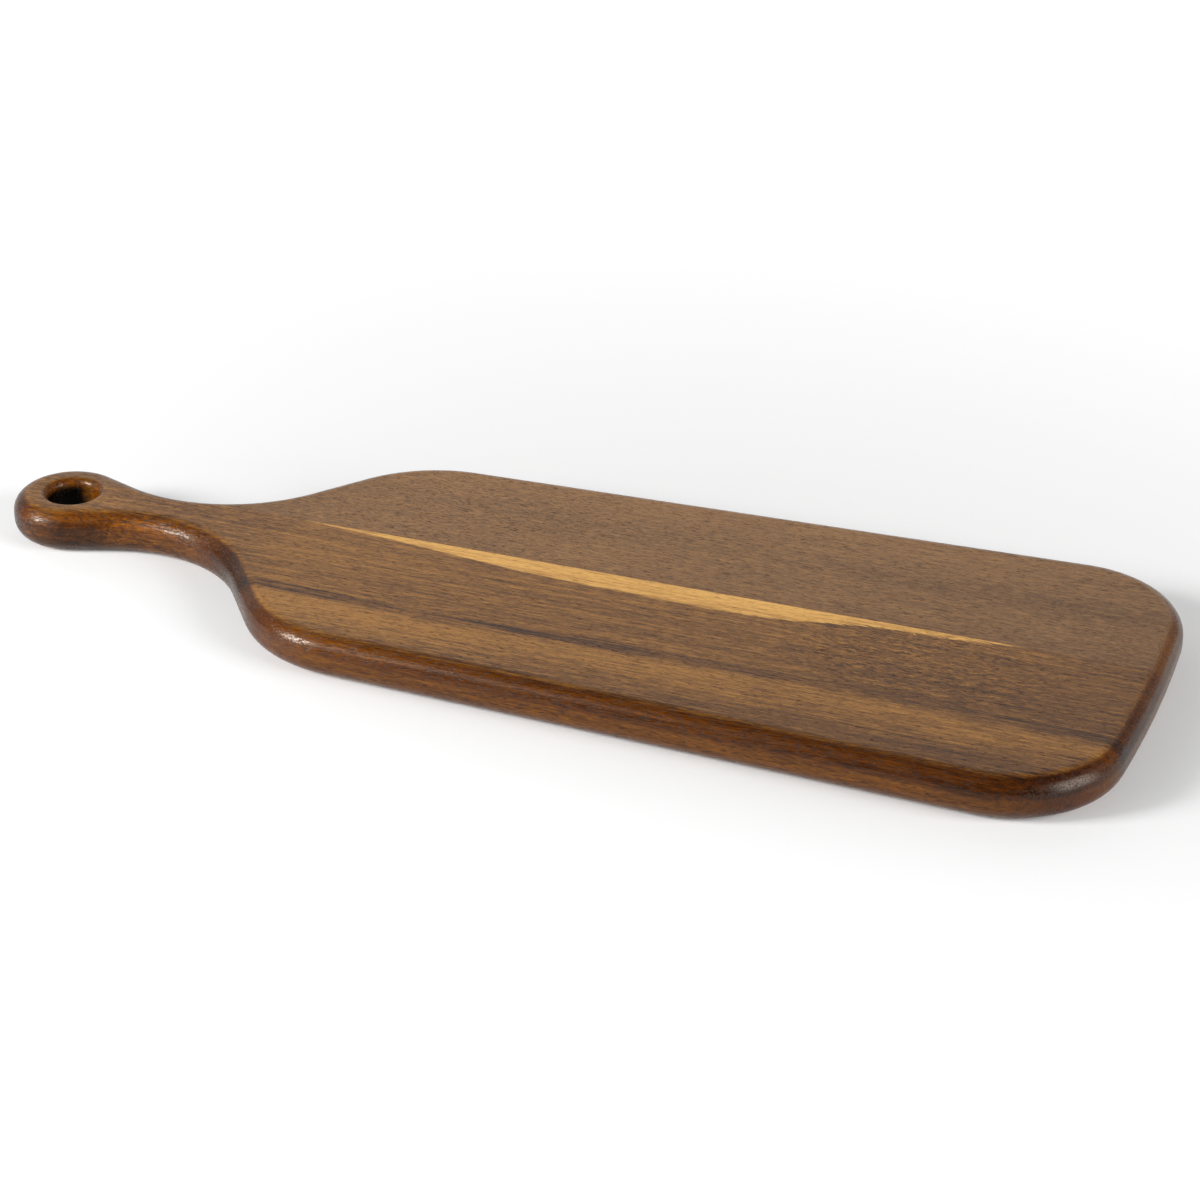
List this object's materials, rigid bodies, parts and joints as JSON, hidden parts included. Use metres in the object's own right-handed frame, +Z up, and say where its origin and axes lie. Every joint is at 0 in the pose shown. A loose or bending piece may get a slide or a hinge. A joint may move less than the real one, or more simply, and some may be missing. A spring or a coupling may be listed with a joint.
{
  "type": "paddle charcuterie board",
  "caption": "Long wooden serving board with rounded edges, a short round-ended handle and a hanging hole, glued up from edge-jointed staves.",
  "frame": {"origin": "middle of the board's length and width, on the underside that it rests on", "axes": "+X runs along the length from the handle to the far end of the blade, +Y points to the rear long side, +Z is up through the thickness"},
  "size_m": [0.508, 0.19, 0.019],
  "materials": {
    "rear_stave_wood": "satin oiled heartwood, even mid brown with fine dark pores",
    "front_stave_wood": "satin oiled heartwood with a pale sapwood flame along the glue line and one dark mineral streak",
    "cured_glue": "thin brown film, sanded flush"
  },
  "bodies": {
    "root": {"rear_stave": "rear_stave_wood", "front_stave": "front_stave_wood", "glue_line": "cured_glue"}
  },
  "joints": []
}
